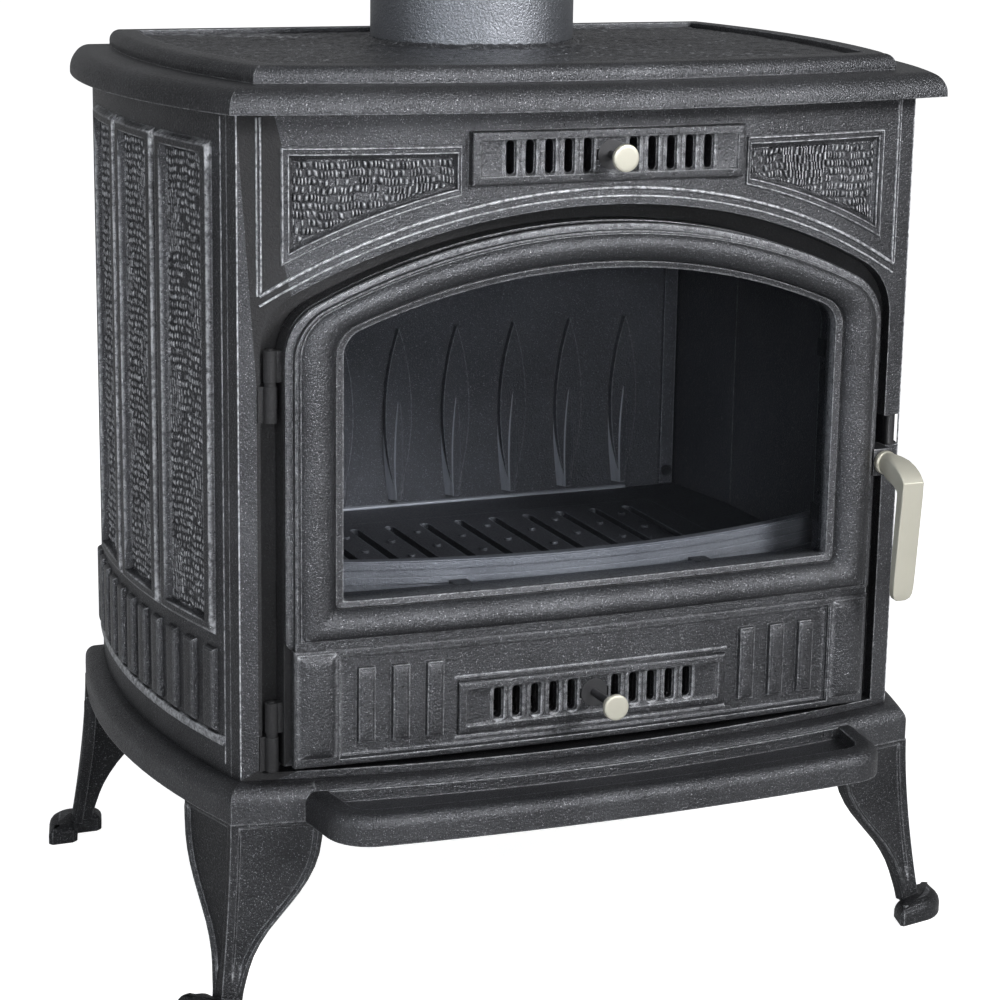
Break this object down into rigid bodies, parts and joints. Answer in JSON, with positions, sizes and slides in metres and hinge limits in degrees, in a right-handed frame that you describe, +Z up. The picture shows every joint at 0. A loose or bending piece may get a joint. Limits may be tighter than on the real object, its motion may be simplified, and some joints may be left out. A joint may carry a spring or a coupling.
{
  "type": "wood stove",
  "caption": "Free-standing cast iron stove on cabriole legs: bow-fronted box, arched hinged glass door, sliding air controls, round flue collar and ash ledge.",
  "frame": {"origin": "on the floor under the stove, midway between the front and back plates and midway between the sides", "axes": "+X to the right of someone facing the door, +Y to the back, +Z up"},
  "size_m": [0.6532, 0.5059, 0.76],
  "materials": {
    "painted_casting": "fine sand-cast texture under matte charcoal stove paint",
    "firebox_casting": "raw dark casting",
    "black_sheet_steel": "matte black",
    "steel": "plain steel",
    "satin_nickel": "satin nickel",
    "rope_seal": "braided glass fibre rope",
    "ceramic_glass": "clear ceramic glass"
  },
  "bodies": {
    "stove_body": {"base_plate": "painted_casting", "leg_front_left": "painted_casting", "leg_front_right": "painted_casting", "leg_rear_left": "painted_casting", "leg_rear_right": "painted_casting", "front_plate": "painted_casting", "side_panel_left": "painted_casting", "side_panel_right": "painted_casting", "back_plate": "painted_casting", "top_plate": "painted_casting", "flue_collar": "painted_casting", "fire_floor": "firebox_casting", "grate": "firebox_casting", "log_guard": "firebox_casting", "back_liner": "firebox_casting", "side_liner_left": "firebox_casting", "side_liner_right": "firebox_casting", "corner_liner_left": "firebox_casting", "corner_liner_right": "firebox_casting", "baffle_plate": "firebox_casting", "liner_clips": "firebox_casting", "rear_heat_shield": "black_sheet_steel", "shield_spacers": "black_sheet_steel", "ash_pan": "black_sheet_steel", "upper_slider_guides": "black_sheet_steel", "leg_bolts": "steel", "shield_screws": "steel", "collar_bolts": "steel", "tie_rods": "steel", "tie_nuts": "steel", "liner_screws": "steel", "hinge_pins": "steel", "latch_pin": "steel"},
    "door": {"door_frame": "painted_casting", "door_glass": "ceramic_glass", "glass_rope": "rope_seal", "glass_clips": "black_sheet_steel", "glass_clip_screws": "steel", "door_rope": "rope_seal", "lower_slider_guides": "black_sheet_steel"},
    "handle": {"handle_spindle": "steel", "door_handle": "satin_nickel", "latch_hook": "steel", "spindle_nut": "steel"},
    "upper_slider": {"upper_air_slider": "black_sheet_steel", "upper_knob_stem": "steel", "upper_air_knob": "satin_nickel", "upper_knob_washer": "satin_nickel"},
    "lower_slider": {"lower_air_slider": "black_sheet_steel", "lower_knob_stem": "steel", "lower_air_knob": "satin_nickel", "lower_knob_washer": "satin_nickel"},
    "roller": {"latch_roller": "steel"}
  },
  "joints": [
    {"name": "door_hinge", "type": "hinge", "parent": "stove_body", "child": "door", "pos_m": [-0.248, -0.186, 0.35], "axis": [0, 0, -1], "range_deg": [0, 110]},
    {"name": "handle_turn", "type": "hinge", "parent": "door", "child": "handle", "pos_m": [0.247, -0.2, 0.378], "axis": [0, 1, 0], "range_deg": [0, 60]},
    {"name": "upper_air_slide", "type": "slide", "parent": "stove_body", "child": "upper_slider", "axis": [1, 0, 0], "range_m": [0, 0.0075]},
    {"name": "lower_air_slide", "type": "slide", "parent": "door", "child": "lower_slider", "axis": [1, 0, 0], "range_m": [0, 0.0075]},
    {"name": "latch_roller_spin", "type": "hinge", "parent": "stove_body", "child": "roller", "pos_m": [0.2615, -0.1788, 0.399], "axis": [0, 0, 1], "continuous": true}
  ]
}
